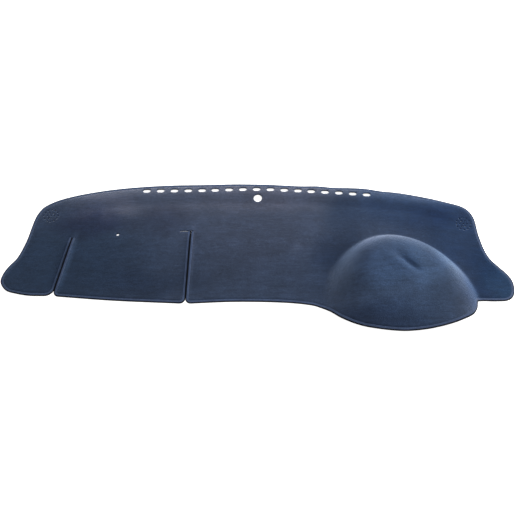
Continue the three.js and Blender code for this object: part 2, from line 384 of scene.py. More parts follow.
def smooth_line(points: Points, steps: int = 24) -> Points:
    """Draws a smooth line through points that may be unevenly spaced.

    Args:
        points: The points to pass through.
        steps: How many new points each span gets.

    Returns:
        A fine polyline through them.
    """
    ends = np.vstack([2 * points[0] - points[1], points, 2 * points[-1] - points[-2]])
    spans = np.sqrt(np.hypot(*np.diff(ends, axis=0).T))
    t = np.linspace(0, 1, steps, endpoint=False)[:, None]
    pieces = []
    for i in range(1, len(ends) - 2):
        p0, p1, p2, p3 = ends[i - 1 : i + 3]
        d0, d1, d2 = spans[i - 1 : i + 2]
        leave = d1 * ((p1 - p0) / d0 - (p2 - p0) / (d0 + d1) + (p2 - p1) / d1)
        arrive = d1 * ((p2 - p1) / d1 - (p3 - p1) / (d1 + d2) + (p3 - p2) / d2)
        bend = 2 * p1 - 2 * p2 + leave + arrive
        lift = -3 * p1 + 3 * p2 - 2 * leave - arrive
        pieces.append(bend * t**3 + lift * t**2 + leave * t + p1)
    return np.vstack([*pieces, points[-1:]])


def even_line(line: Points, step: float) -> Points:
    """Resamples a polyline at even steps.

    Args:
        line: The polyline.
        step: The longest step wanted.

    Returns:
        The new polyline.
    """
    runs = np.hypot(*np.diff(line, axis=0).T)
    line = line[np.concatenate([[True], runs > TINY])]
    marks = np.concatenate([[0], np.cumsum(np.hypot(*np.diff(line, axis=0).T))])
    wanted = np.linspace(0, marks[-1], math.ceil(marks[-1] / step) + 1)
    return np.column_stack([np.interp(wanted, marks, line[:, axis]) for axis in (0, 1)])


@dataclass(frozen=True)
class EdgeLine:
    """A taped edge as a line of stations, with the sheet on its left."""

    points: Points

    @property
    def along(self) -> Points:
        """Returns: The direction of travel at each station."""
        run = np.gradient(self.points, axis=0)
        return run / np.hypot(*run.T)[:, None]

    @property
    def inward(self) -> Points:
        """Returns: The direction into the sheet at each station."""
        along = self.along
        return np.column_stack([-along[:, 1], along[:, 0]])

    def inset(self, distance: float, overrun: float = 0.0) -> Points:
        """Moves the line into the sheet.

        Args:
            distance: How far in.
            overrun: How far both ends move on past the slits' tops.

        Returns:
            The moved points.
        """
        moved = self.points + self.inward * distance
        along = self.along
        moved[0] -= along[0] * overrun
        moved[-1] += along[-1] * overrun
        return moved


@dataclass(frozen=True)
class Outline:
    """The mat's plan: its outer edge and the airbag flap's edge."""

    step: float = 0.0036
    wing_corner: float = 0.024
    flap_corner: float = 0.016
    left_slit: Slit = Slit(*LEFT_SLIT)
    right_slit: Slit = Slit(*RIGHT_SLIT)
    flap_front: tuple[Place, ...] = ((-0.555, -0.565),)
    front_and_rim: tuple[Place, ...] = (
        (-0.094, -0.58), (0.091, -0.588), (0.184, -0.611), (0.229, -0.637), (0.273, -0.702), (0.316, -0.805),
        (0.359, -0.885), (0.402, -0.939), (0.444, -0.969), (0.489, -0.989), (0.552, -1), (0.621, -0.985),
        (0.667, -0.962), (0.715, -0.927), (0.763, -0.874), (0.816, -0.779), (0.841, -0.676), (0.846, -0.618),
    )
    right_wing: tuple[Place, ...] = (
        (0.849, -0.588), (0.86, -0.573), (0.922, -0.573), (0.969, -0.561), (0.99, -0.515), (1, -0.427),
        (0.998, -0.321), (0.984, -0.24), (0.954, -0.137), (0.926, -0.034), (0.911, 0.073), (0.897, 0.286),
        (0.89, 0.508), (0.872, 0.618), (0.845, 0.679),
    )
    rear_edge: tuple[Place, ...] = (
        (0.78, 0.737), (0.716, 0.786), (0.585, 0.87), (0.519, 0.893), (0.453, 0.931), (0.385, 0.943),
        (0.319, 0.947), (0.251, 0.969), (0.184, 0.969), (0.05, 0.992), (-0.086, 1), (-0.221, 0.989),
        (-0.356, 0.981), (-0.49, 0.954), (-0.622, 0.905), (-0.754, 0.821),
    )
    left_wing: tuple[Place, ...] = (
        (-0.817, 0.767), (-0.849, 0.725), (-0.879, 0.668), (-0.897, 0.592), (-0.908, 0.508), (-0.929, 0.179),
        (-0.954, -0.034), (-0.98, -0.137), (-0.997, -0.24), (-1, -0.336), (-0.974, -0.439), (-0.929, -0.481),
        (-0.882, -0.504),
    )

    def outer_edge(self) -> EdgeLine:
        """Returns: The edge from the right slit round the mat, anticlockwise, to the left slit."""
        places = [*self.front_and_rim, *self.right_wing, *self.rear_edge, *self.left_wing]
        start = (self.right_slit, 1, self.flap_corner)
        return self._edge(start, spot(places), (self.left_slit, -1, self.wing_corner))

    def flap_edge(self) -> EdgeLine:
        """Returns: The flap's edge, down the left slit, along the front and up the right slit."""
        middle = spot(list(self.flap_front))
        start = (self.left_slit, 1, self.flap_corner)
        return self._edge(start, middle, (self.right_slit, -1, self.flap_corner))

    def _edge(
        self, start: tuple[Slit, int, float], middle: Points, finish: tuple[Slit, int, float]
    ) -> EdgeLine:
        """Joins two slit sides by a smooth line.

        Args:
            start: The first slit, its side and the reach of its corner.
            middle: The points between the slits.
            finish: The last slit, its side and the reach of its corner.

        Returns:
            The whole edge.
        """
        first = start[0].side(start[1], start[2], middle[0])
        last = finish[0].side(finish[1], finish[2], middle[-1])
        between = smooth_line(np.vstack([first[1][-1], middle, last[1][-1]]))
        return EdgeLine(even_line(np.vstack([*first, between, last[1][::-1], last[0][::-1]]), self.step))


@dataclass(frozen=True)
class Openings:
    """The holes cut in the carpet, each with the number of points that it is drawn with."""

    slot_count: int = 17
    slot_length: float = 0.023
    slot_width: float = 0.015
    slot_points: int = 24
    slot_row: tuple[Place, ...] = (
        (-0.46, 0.882), (-0.232, 0.889), (-0.004, 0.912), (0.115, 0.897), (0.229, 0.874), (0.344, 0.851),
        (0.457, 0.824),
    )
    row_step: float = 0.002
    sensor: Place = (0.004, 0.775)
    sensor_diameter: float = 0.0250
    sensor_points: int = 40
    lamp: Place = (-0.560, 0.256)
    lamp_diameter: float = 0.008
    lamp_points: int = 20
    tweeters: tuple[Place, ...] = ((-0.845, 0.542), (0.842, 0.431))
    tweeter_hole: float = 0.0028
    tweeter_points: int = 12
    tweeter_rings: tuple[tuple[int, float], ...] = ((1, 0.0), (6, 0.0105), (12, 0.021))
    end_cut_length: float = 0.039
    end_cut_width: float = 0.0026
    end_cut_right: float = 0.008
    end_cut_points: int = 12

    def loops(self, slit_top: Points, grow: float) -> list[Points]:
        """Draws every hole.

        Args:
            slit_top: The top of the slit that ends in the cross cut.
            grow: How much each hole is grown all round.

        Returns:
            A closed loop of points for each hole, the cross cut last.
        """
        row = even_line(smooth_line(spot(list(self.slot_row))), self.row_step)
        centres = row[np.linspace(0, len(row) - 1, self.slot_count).round().astype(int)]
        half = (self.slot_length - self.slot_width) / 2
        ends = self.slot_width / 2 + grow
        holes = [self._round(centre, ends, self.slot_points, half) for centre in centres]
        sensor, lamp = spot([self.sensor, self.lamp])
        holes.append(self._round(sensor, self.sensor_diameter / 2 + grow, self.sensor_points))
        holes.append(self._round(lamp, self.lamp_diameter / 2 + grow, self.lamp_points))
        for centre in spot(list(self.tweeters)):
            for count, radius in self.tweeter_rings:
                for angle in 2 * np.pi * np.arange(count) / count:
                    place = centre + radius * np.array([np.cos(angle), np.sin(angle)])
                    holes.append(self._round(place, self.tweeter_hole / 2 + grow, self.tweeter_points))
        holes.append(self.end_cut(slit_top, grow))
        return holes

    def end_cut(self, slit_top: Points, grow: float) -> Points:
        """Draws the cross cut at a slit's top.

        Args:
            slit_top: The slit's top.
            grow: How much the cut is grown at its ends and its far side.

        Returns:
            The cut's loop of points.
        """
        right = slit_top[0] + self.end_cut_right + grow
        left = slit_top[0] + self.end_cut_right - self.end_cut_length - grow
        low = slit_top[1]
        high = slit_top[1] + self.end_cut_width + grow
        xs = np.linspace(left, right, self.end_cut_points)
        near = np.column_stack([xs, np.full(len(xs), low)])
        return np.vstack([near, np.column_stack([xs[::-1], np.full(len(xs), high)])])

    @staticmethod
    def _round(centre: Points, radius: float, sides: int, half_length: float = 0.0) -> Points:
        """Draws a round or slotted hole.

        Args:
            centre: The hole's centre.
            radius: The radius of its ends.
            sides: The number of points.
            half_length: Half the length of its straight sides.

        Returns:
            The hole's loop of points.
        """
        angle = 2 * np.pi * (np.arange(sides) + 0.5) / sides
        shift = np.sign(np.cos(angle)) * half_length
        return centre + np.column_stack([shift + radius * np.cos(angle), radius * np.sin(angle)])


def inside(points: Points, loop: Points) -> Points:
    """Tells which points lie inside a closed loop.

    Args:
        points: The points to test.
        loop: The loop's points in order.

    Returns:
        True for each point inside.
    """
    found = np.zeros(len(points), dtype=bool)
    x, y = points.T
    for (x0, y0), (x1, y1) in zip(loop, np.roll(loop, -1, axis=0)):
        if y0 != y1:
            crossing = (y0 > y) != (y1 > y)
            found ^= crossing & (x < (x1 - x0) * (y - y0) / (y1 - y0) + x0)
    return found


def new_mesh(name: str, vertices: Points, faces: list) -> bpy.types.Object:
    """Makes a smooth-shaded mesh object.

    Args:
        name: The object's name.
        vertices: One row of x, y and z for each vertex.
        faces: The faces as vertex numbers.

    Returns:
        The object, linked to the scene.
    """
    mesh = bpy.data.meshes.new(name)
    mesh.from_pydata(vertices.tolist(), [], faces)
    mesh.shade_smooth()
    mesh.set_sharp_from_angle(angle=SHARP_ANGLE)
    piece = bpy.data.objects.new(name, mesh)
    bpy.context.scene.collection.objects.link(piece)
    return piece


class Rim(IntEnum):
    """The kind of edge that a point of the sheet's plan is on."""

    NONE = 0
    TAPED = 1
    CUT = 2


@dataclass(frozen=True)
class CarpetSheet:
    """The moulded carpet sheet with its holes, thinner in the tape and slightly thinner at its cut edges.

    Past the tape it comes back to its full thickness over the first value of shoulder, and the lattice
    starts past the first value of lattice_gap. Their second values carry both on past a slit's top.
    """

    moulding: Moulding
    outline: Outline
    openings: Openings
    cloth: Cloth
    grid: float = 0.006
    cut_low: float = 0.0004
    cut_high: float = 0.0009
    shoulder: Place = (0.0014, 0.0015)
    lattice_gap: Place = (0.0045, 0.004)
    hole_shoulder: float = 0.001
    hole_gap: float = 0.003
    hole_window: float = 0.03
    merge_distance: float = 1e-7

    def build(self) -> bpy.types.Object:
        """Returns: The sheet as a closed mesh, with its cut sides and underside on a second material slot."""
        plan, faces, rim = self._plan()
        x, y = plan.T
        low = self._by_rim(rim, self.cloth.low, self.cut_low)
        high = self.cloth.carpet - self._by_rim(rim, self.cloth.low, self.cut_high)
        top = np.column_stack([x, y, self.moulding.layer(x, y, high)])
        bottom = np.column_stack([x, y, self.moulding.layer(x, y, low)])
        count = len(plan)
        sides = self._sides(faces, count)
        under = [tuple(corner + count for corner in reversed(face)) for face in faces]
        piece = new_mesh("carpet_sheet", np.vstack([top, bottom]), [*faces, *sides, *under])
        indices = [0] * len(faces) + [1] * (len(sides) + len(under))
        piece.data.polygons.foreach_set("material_index", indices)
        return piece

    @staticmethod
    def _by_rim(rim: Points, taped: float, cut: float) -> Points:
        """Picks how much each point is pressed in.

        Args:
            rim: Each point's kind of edge.
            taped: The amount in the tape.
            cut: The amount at a hole.

        Returns:
            The amount for each point, 0 away from the edges.
        """
        return np.where(rim == Rim.TAPED, taped, np.where(rim == Rim.CUT, cut, 0.0))

    def _plan(self) -> tuple[Points, list[tuple[int, ...]], Points]:
        """Triangulates the sheet's plan.

        Returns:
            The points, the triangles, and the kind of edge that each point is on.
        """
        grip = self.cloth.leg + self.cloth.clearance
        edges = (self.outline.outer_edge(), self.outline.flap_edge())
        border = np.vstack([edge.inset(self.cloth.low) for edge in edges])
        gripped = np.vstack([edge.inset(grip, self.cloth.clearance) for edge in edges])
        full = np.vstack([edge.inset(grip + self.shoulder[0], self.shoulder[1]) for edge in edges])
        clear = np.vstack([edge.inset(grip + self.lattice_gap[0], self.lattice_gap[1]) for edge in edges])
        slit_top = spot([self.outline.right_slit.top])[0]
        holes = self.openings.loops(slit_top, 0.0)
        around = self.openings.loops(slit_top, self.hole_shoulder)[:-1]
        loops = [(border, Rim.TAPED), (gripped, Rim.TAPED), (full, Rim.NONE)]
        loops += [(hole, Rim.CUT) for hole in holes] + [(loop, Rim.NONE) for loop in around]
        lattice = self._lattice(clear, self.openings.loops(slit_top, self.hole_gap))
        points = [*lattice]
        rims = [Rim.NONE] * len(lattice)
        links = []
        for loop, rim in loops:
            start = len(points)
            links += [(start + i, start + (i + 1) % len(loop)) for i in range(len(loop))]
            points += [*loop]
            rims += [rim] * len(loop)
        flat = [Vector(point) for point in points]
        found = delaunay_2d_cdt(flat, links, [], 0, self.merge_distance, True)
        plan = np.array([tuple(vertex) for vertex in found[0]])
        rim = np.array([int(max((rims[i] for i in source), default=Rim.TAPED)) for source in found[3]])
        middles = np.array([plan[list(face)].mean(axis=0) for face in found[2]])
        kept = inside(middles, border)
        for hole in holes:
            near = kept & (np.abs(middles - hole.mean(axis=0)).max(axis=1) < self.hole_window)
            kept[near] = ~inside(middles[near], hole)
        return plan, [tuple(face) for face, keep in zip(found[2], kept) if keep], rim

    def _lattice(self, clear: Points, holes: list[Points]) -> Points:
        """Lays an even triangular lattice inside the sheet.

        Args:
            clear: The loop that the lattice stays inside.
            holes: The loops that it stays out of.

        Returns:
            The lattice's points.
        """
        rise = self.grid * math.sqrt(0.75)
        rows = np.arange(-HALF_DEPTH, HALF_DEPTH, rise)
        columns = np.arange(-HALF_WIDTH, HALF_WIDTH, self.grid)
        x, y = np.meshgrid(columns, rows)
        x = x + (np.arange(len(rows)) % 2)[:, None] * self.grid / 2
        points = np.column_stack([x.ravel(), y.ravel()])
        points = points[inside(points, clear)]
        for hole in holes:
            points = points[~inside(points, hole)]
        return points

    @staticmethod
    def _sides(faces: list[tuple[int, ...]], count: int) -> list[tuple[int, ...]]:
        """Closes the sheet's cut edges.

        Args:
            faces: The top's faces.
            count: The number of points in the top.

        Returns:
            The faces between the top and the bottom.
        """
        links = {(face[i - 1], face[i]) for face in faces for i in range(len(face))}
        return [(a + count, b + count, b, a) for a, b in links if (b, a) not in links]


@dataclass(frozen=True)
class EdgeTape:
    """The tape folded over an edge, and the stitches that hold it.

    Each ring of a stitch is a share of its length and a share of its radius. A stitch stands higher by
    stitch_crown and lies deeper by stitch_sink, both shares of its radius.
    """

    name: str
    edge: EdgeLine
    moulding: Moulding
    cloth: Cloth
    ease: float = 0.0002
    fold_bulge: float = 0.0016
    fold_steps: int = 9
    stitch_pitch: float = 0.0042
    stitch_length: float = 0.0031
    stitch_radius: float = 0.00032
    stitch_inset: float = 0.0022
    stitch_under: float = 0.0004
    stitch_crown: float = 0.4
    stitch_sink: float = 0.25
    stitch_sides: int = 6
    stitch_rings: tuple[Place, ...] = ((-0.5, 0.25), (-0.38, 0.9), (0.0, 1.0), (0.38, 0.9), (0.5, 0.25))

    def build(self) -> bpy.types.Object:
        """Returns: The tape as a closed mesh with a length and a width coordinate."""
        section = self._section()
        rows = []
        for inset, up in section:
            x, y = self.edge.inset(inset).T
            rows.append(np.column_stack([x, y, self.moulding.layer(x, y, up)]))
        vertices = np.stack(rows, axis=1).reshape(-1, 3)
        size = len(section)
        last = len(vertices) - size
        faces = [
            (start + side, start + (side + 1) % size, start + size + (side + 1) % size, start + size + side)
            for start in range(0, last, size)
            for side in range(size)
        ]
        faces += [tuple(reversed(range(size))), tuple(range(last, last + size))]
        piece = new_mesh(f"{self.name}_tape", vertices, faces)
        self._unwrap(piece, size)
        return piece

    def stitches(self) -> bpy.types.Object:
        """Returns: A row of short thread stitches on both faces of the tape."""
        radius = self.stitch_radius
        sides = self.stitch_sides
        line = even_line(self.edge.inset(self.cloth.leg - self.stitch_inset), self.stitch_pitch)
        row = EdgeLine(line)
        along, across = row.along, row.inward
        vertices = []
        for level, sign in ((self.cloth.carpet, 1), (self.stitch_under, -1)):
            for share, girth in self.stitch_rings:
                for spoke in 2 * np.pi * np.arange(sides) / sides:
                    place = line + along * share * self.stitch_length
                    x, y = (place + across * radius * girth * np.cos(spoke)).T
                    lift = radius * (girth * np.sin(spoke) + self.stitch_crown * girth - self.stitch_sink)
                    z = self.moulding.layer(x, y, level + sign * max(lift, 0.0))
                    vertices.append(np.column_stack([x, y, z]))
        stacked = np.stack(vertices, axis=1).reshape(-1, 3)
        size = len(self.stitch_rings) * sides
        faces = []
        for start in range(0, len(stacked), size):
            for ring in range(start, start + size - sides, sides):
                for side in range(sides):
                    a, b = ring + side, ring + (side + 1) % sides
                    faces.append((a, a + sides, b + sides, b))
            faces.append(tuple(range(start, start + sides)))
            faces.append(tuple(reversed(range(start + size - sides, start + size))))
        return new_mesh(f"{self.name}_stitches", stacked, faces)

    def _section(self) -> list[Place]:
        """Returns: The folded tape's section, anticlockwise, as inset and height above the underside."""
        top = self.cloth.carpet
        fold = self.cloth.tape
        leg = self.cloth.leg
        bend = top / 2
        section = [(leg, self.ease), (leg, fold), (fold, fold)]
        section += [(fold, top - fold), (leg, top - fold), (leg, top - self.ease)]
        for angle in np.linspace(90, 270, self.fold_steps):
            turn = math.radians(angle)
            section.append((self.fold_bulge * (1 + math.cos(turn)), bend + bend * math.sin(turn)))
        return section

    def _unwrap(self, piece: bpy.types.Object, size: int) -> None:
        """Gives the tape a coordinate along its length and one across it, in metres.

        Args:
            piece: The tape.
            size: The number of points in its section.
        """
        mesh = piece.data
        layer = mesh.uv_layers.new(name=TAPE_MAP)
        corners = np.zeros(len(mesh.loops), dtype=np.int32)
        mesh.loops.foreach_get("vertex_index", corners)
        runs = np.hypot(*np.diff(self.edge.points, axis=0).T)
        marks = np.concatenate([[0], np.cumsum(runs)])
        insets = np.array([inset for inset, _ in self._section()])
        places = np.column_stack([marks[corners // size], insets[corners % size]])
        layer.data.foreach_set("uv", places.ravel())


class Nodes:
    """A small helper that builds one material's node tree."""

    def __init__(self, name: str) -> None:
        """Starts a material with a principled shader.

        Args:
            name: The material's name.
        """
        self.material = bpy.data.materials.new(name)
        self.material.use_nodes = True
        self.tree = self.material.node_tree
        self.shader = self.tree.nodes["Principled BSDF"]

    def add(self, kind: str, inputs: dict | None = None, **settings: object) -> bpy.types.Node:
        """Adds a node.

        Args:
            kind: The node's type name.
            inputs: Values or sockets for its inputs, by name or number.
            settings: Values for the node's own settings.

        Returns:
            The node.
        """
        node = self.tree.nodes.new(kind)
        for key, value in settings.items():
            setattr(node, key, value)
        self._fill(node, inputs or {})
        return node

    def finished(self, inputs: dict[str, object]) -> bpy.types.Material:
        """Fills the shader's inputs.

        Args:
            inputs: Values or sockets, by name.

        Returns:
            The material.
        """
        self._fill(self.shader, inputs)
        return self.material

    def _fill(self, node: bpy.types.Node, inputs: dict) -> None:
        """Links or sets a node's inputs.

        Args:
            node: The node.
            inputs: Values or sockets, by name or number.
        """
        for key, value in inputs.items():
            if isinstance(value, Socket):
                self.tree.links.new(value, node.inputs[key])
            else:
                node.inputs[key].default_value = value

    def noise(self, place: Socket, scale: float, detail: float, **inputs: float) -> Socket:
        """Adds a noise texture.

        Args:
            place: The coordinate that it reads.
            scale: Its scale, in features per metre.
            detail: How many finer layers it has.
            inputs: Other input values, by name.

        Returns:
            The noise's value.
        """
        node = self.add("ShaderNodeTexNoise", {"Vector": place, "Scale": scale, "Detail": detail, **inputs})
        return node.outputs["Fac"]

    def spread(self, value: Socket, low: Place, high: Place) -> Socket:
        """Maps a value from one range to another, clamped.

        Args:
            value: The value to map.
            low: The value and the result at the low end.
            high: The value and the result at the high end.

        Returns:
            The mapped value.
        """
        ends = {"From Min": low[0], "From Max": high[0], "To Min": low[1], "To Max": high[1]}
        return self.add("ShaderNodeMapRange", {"Value": value, **ends}).outputs["Result"]

    def math(self, operation: str, first: object, second: object) -> Socket:
        """Combines two values.

        Args:
            operation: What is done with them.
            first: A value or socket.
            second: A value or socket.

        Returns:
            The result.
        """
        return self.add("ShaderNodeMath", {0: first, 1: second}, operation=operation).outputs[0]

    def vector(self, operation: str, first: object, second: object) -> Socket:
        """Combines two vectors or colours.

        Args:
            operation: What is done with them.
            first: A vector or socket.
            second: A vector or socket.

        Returns:
            The result.
        """
        return self.add("ShaderNodeVectorMath", {0: first, 1: second}, operation=operation).outputs[0]

    def scaled(self, colour: object, factor: object) -> Socket:
        """Makes a colour lighter or darker, or a vector longer or shorter.

        Args:
            colour: The colour or vector, or its socket.
            factor: What it is multiplied by.

        Returns:
            The result.
        """
        return self.add("ShaderNodeVectorMath", {0: colour, "Scale": factor}, operation="SCALE").outputs[0]

    def bump(self, height: Socket, distance: float, strength: float, under: Socket | None = None) -> Socket:
        """Adds relief.

        Args:
            height: The relief's height.
            distance: How deep it is, in metres.
            strength: How strongly it shows.
            under: The normal that it is laid on, if any.

        Returns:
            The new normal.
        """
        inputs = {"Height": height, "Distance": distance, "Strength": strength}
        if under is not None:
            inputs["Normal"] = under
        return self.add("ShaderNodeBump", inputs).outputs["Normal"]


@dataclass(frozen=True)
class Mottle:
    """An uneven shade drawn from one noise.

    The noise from cut to 1 - cut makes the cloth up to swing darker and lighter.
    """

    scale: float
    detail: float
    swing: float
    squeeze: Triple = (1.0, 1.0, 1.0)
    roughness: float = 0.5
    distortion: float = 0.0
    cut: float = 0.3

    def noise(self, nodes: Nodes, place: Socket) -> Socket:
        """Adds the noise.

        Args:
            nodes: The material's nodes.
            place: The coordinate that it reads.

        Returns:
            The noise's value.
        """
        squeezed = nodes.add("ShaderNodeMapping", {"Vector": place, "Scale": self.squeeze}).outputs[0]
        inputs = {"Roughness": self.roughness, "Distortion": self.distortion}
        return nodes.noise(squeezed, self.scale, self.detail, **inputs)

    def shade(self, nodes: Nodes, noise: Socket) -> Socket:
        """Turns the noise into a shade.

        Args:
            nodes: The material's nodes.
            noise: The noise's value.

        Returns:
            What the cloth's colour is multiplied by.
        """
        return nodes.spread(noise, (self.cut, 1 - self.swing), (1 - self.cut, 1 + self.swing))


@dataclass(frozen=True)
class ToneAndLightPatch:
    """A soft-edged patch that tints the pile, partly with its own tone and partly with painted light and
    shade.

    Its reach across and along the mat is in metres, and its turn in degrees. From core of its reach
    outwards the tint fades. An uneven patch has a wandering edge.
    """

    centre: Place
    reach: Place
    tint: Triple
    turn: float = 0.0
    uneven: bool = True
    core: float = 0.25
    upward_reach: float = 10.0

    def shade(self, nodes: Nodes, even: Socket, wandering: Socket) -> Socket:
        """Adds the patch.

        Args:
            nodes: The material's nodes.
            even: The plain coordinate.
            wandering: The coordinate that uneven patches read.

        Returns:
            The patch's tint, of tone and painted light and shade, 1 outside it.
        """
        x, y = spot([self.centre])[0]
        inputs = {"Vector": wandering if self.uneven else even, "Location": (x, y, 0.0)}
        inputs["Rotation"] = (0.0, 0.0, math.radians(self.turn))
        inputs["Scale"] = (*self.reach, self.upward_reach)
        local = nodes.add("ShaderNodeMapping", inputs, vector_type="TEXTURE").outputs[0]
        far = nodes.add("ShaderNodeVectorMath", {0: local}, operation="LENGTH").outputs["Value"]
        ends = {"Value": far, "From Min": self.core, "From Max": 1.0, "To Min": 1.0, "To Max": 0.0}
        amount = nodes.add("ShaderNodeMapRange", ends, interpolation_type="SMOOTHSTEP").outputs["Result"]
        mix = nodes.add("ShaderNodeMix", {0: amount, 4: (1.0, 1.0, 1.0), 5: self.tint}, data_type="VECTOR")
        return mix.outputs[1]


@dataclass(frozen=True)
class PileFinish:
    """Short carpet pile.

    Fibres and tufts mix its dark and light colours, and with the clumps they raise its surface. Clumps and
    wear make it uneven, and patches add tone and painted light and shade. The bloom is the tint of its sheen.
    """

    name: str
    dark: Triple
    light: Triple
    sheen: float
    relief: float
    tone_and_light: tuple[ToneAndLightPatch, ...] = ()
    fibre_scale: float = 1400
    tuft_scale: float = 420
    mix_cut: float = 0.34
    clump: Mottle = Mottle(90, 4, 0.14, roughness=0.6)
    wear: tuple[Mottle, ...] = (
        Mottle(7, 4, 0.12, (1.0, 4.5, 2.0), roughness=0.55),
        Mottle(3.2, 3, 0.07, (3.0, 1.0, 1.0), distortion=0.6),
        Mottle(24, 4, 0.20, (1.0, 8.0, 3.0), roughness=0.6),
        Mottle(15, 3, 0.12, distortion=0.4, cut=0.32),
    )
    bloom: Triple = (0.62, 0.74, 1.0)
    wander: float = 0.10
    wander_scale: float = 9.0

    def make(self) -> bpy.types.Material:
        """Returns: The material."""
        nodes = Nodes(self.name)
        place = nodes.add("ShaderNodeTexCoord").outputs["Object"]
        fibre = nodes.noise(place, self.fibre_scale, 2)
        tuft = nodes.noise(place, self.tuft_scale, 3)
        clump = self.clump.noise(nodes, place)
        mixed = nodes.math("ADD", nodes.math("MULTIPLY", fibre, 0.5), nodes.math("MULTIPLY", tuft, 0.5))
        blend = nodes.spread(mixed, (self.mix_cut, 0.0), (1 - self.mix_cut, 1.0))
        colours = {0: blend, 6: (*self.dark, 1), 7: (*self.light, 1)}
        colour = nodes.add("ShaderNodeMix", colours, data_type="RGBA").outputs[2]
        worn = self.clump.shade(nodes, clump)
        for mottle in self.wear:
            worn = nodes.math("MULTIPLY", worn, mottle.shade(nodes, mottle.noise(nodes, place)))
        colour = nodes.scaled(colour, worn)
        bloom = (*self.bloom, 1)
        # The patches tint the colour and the sheen with tone and with painted light and shade.
        if self.tone_and_light:
            tint = self._tone_and_light_tint(nodes, place)
            colour = nodes.vector("MULTIPLY", colour, tint)
            bloom = nodes.vector("MULTIPLY", self.bloom, tint)
        normal = None
        for grain, depth, strength in ((clump, 0.002, 0.35), (tuft, 0.0012, 0.7), (fibre, 0.0006, 0.8)):
            normal = nodes.bump(grain, depth, strength * self.relief, normal)
        return nodes.finished({
            "Base Color": colour,
            "Normal": normal,
            "Roughness": 0.95,
            "Specular IOR Level": 0.15,
            "Sheen Weight": self.sheen,
            "Sheen Roughness": 0.45,
            "Sheen Tint": bloom,
        })

    def _tone_and_light_tint(self, nodes: Nodes, place: Socket) -> Socket:
        """Works out the tint that the patches give together, of tone and painted light and shade.

        Args:
            nodes: The material's nodes.
            place: The coordinate that the patches read.

        Returns:
            The tint, 1 outside every patch.
        """
        inputs = {"Vector": place, "Scale": self.wander_scale, "Detail": 3.0}
        drift = nodes.add("ShaderNodeTexNoise", inputs).outputs["Color"]
        shift = nodes.scaled(nodes.vector("SUBTRACT", drift, (0.5, 0.5, 0.5)), self.wander)
        wandering = nodes.vector("ADD", place, shift)
        tint = (1.0, 1.0, 1.0)
        for patch in self.tone_and_light:
            tint = nodes.vector("MULTIPLY", tint, patch.shade(nodes, place, wandering))
        return tint


@dataclass(frozen=True)
class TapeFinish:
    """Woven edge tape with fine ribs across its length.

    Its colour carries painted shade round the fold, up to fold_end in from the edge, and a painted highlight
    on its flat legs from flat_start; its sheen fades out towards the fold the same way.
    """

    name: str
    colour: Triple
    sheen: float
    rib_scale: float = 190.0
    rib_shade: Place = (0.8, 1.15)
    rib_depth: float = 0.0003
    weave: Mottle = Mottle(60, 3, 0.15)
    fold_painted_shade: float = 0.15
    flat_painted_light: float = 2.6
    fold_end: float = 0.0022
    flat_start: float = 0.0040

    def make(self) -> bpy.types.Material:
        """Returns: The material."""
        nodes = Nodes(self.name)
        place = nodes.add("ShaderNodeUVMap", uv_map=TAPE_MAP).outputs["UV"]
        solid = nodes.add("ShaderNodeTexCoord").outputs["Object"]
        wave = {"Vector": place, "Scale": self.rib_scale, "Distortion": 1.0, "Detail": 1.0}
        ribs = nodes.add("ShaderNodeTexWave", wave).outputs["Fac"]
        ribbed = nodes.spread(ribs, (0.0, self.rib_shade[0]), (1.0, self.rib_shade[1]))
        shade = nodes.math("MULTIPLY", ribbed, self.weave.shade(nodes, self.weave.noise(nodes, solid)))
        across = nodes.add("ShaderNodeSeparateXYZ", {0: place}).outputs["Y"]
        flat = nodes.spread(across, (self.fold_end, 0.0), (self.flat_start, 1.0))
        # Painted shade round the fold and a painted highlight on the flat legs.
        painted_band = nodes.spread(flat, (0.0, self.fold_painted_shade), (1.0, self.flat_painted_light))
        return nodes.finished({
            "Base Color": nodes.scaled(self.colour, nodes.math("MULTIPLY", shade, painted_band)),
            "Normal": nodes.bump(ribs, self.rib_depth, 0.6),
            "Roughness": 0.75,
            "Specular IOR Level": 0.1,
            "Sheen Weight": nodes.math("MULTIPLY", flat, self.sheen),
            "Sheen Tint": (0.7, 0.8, 1.0, 1),
        })


@dataclass(frozen=True)
class ThreadFinish:
    """Plain dark sewing thread."""

    name: str
    colour: Triple

    def make(self) -> bpy.types.Material:
        """Returns: The material."""
        looks = {"Base Color": (*self.colour, 1), "Roughness": 0.75, "Specular IOR Level": 0.1}
        return Nodes(self.name).finished(looks)
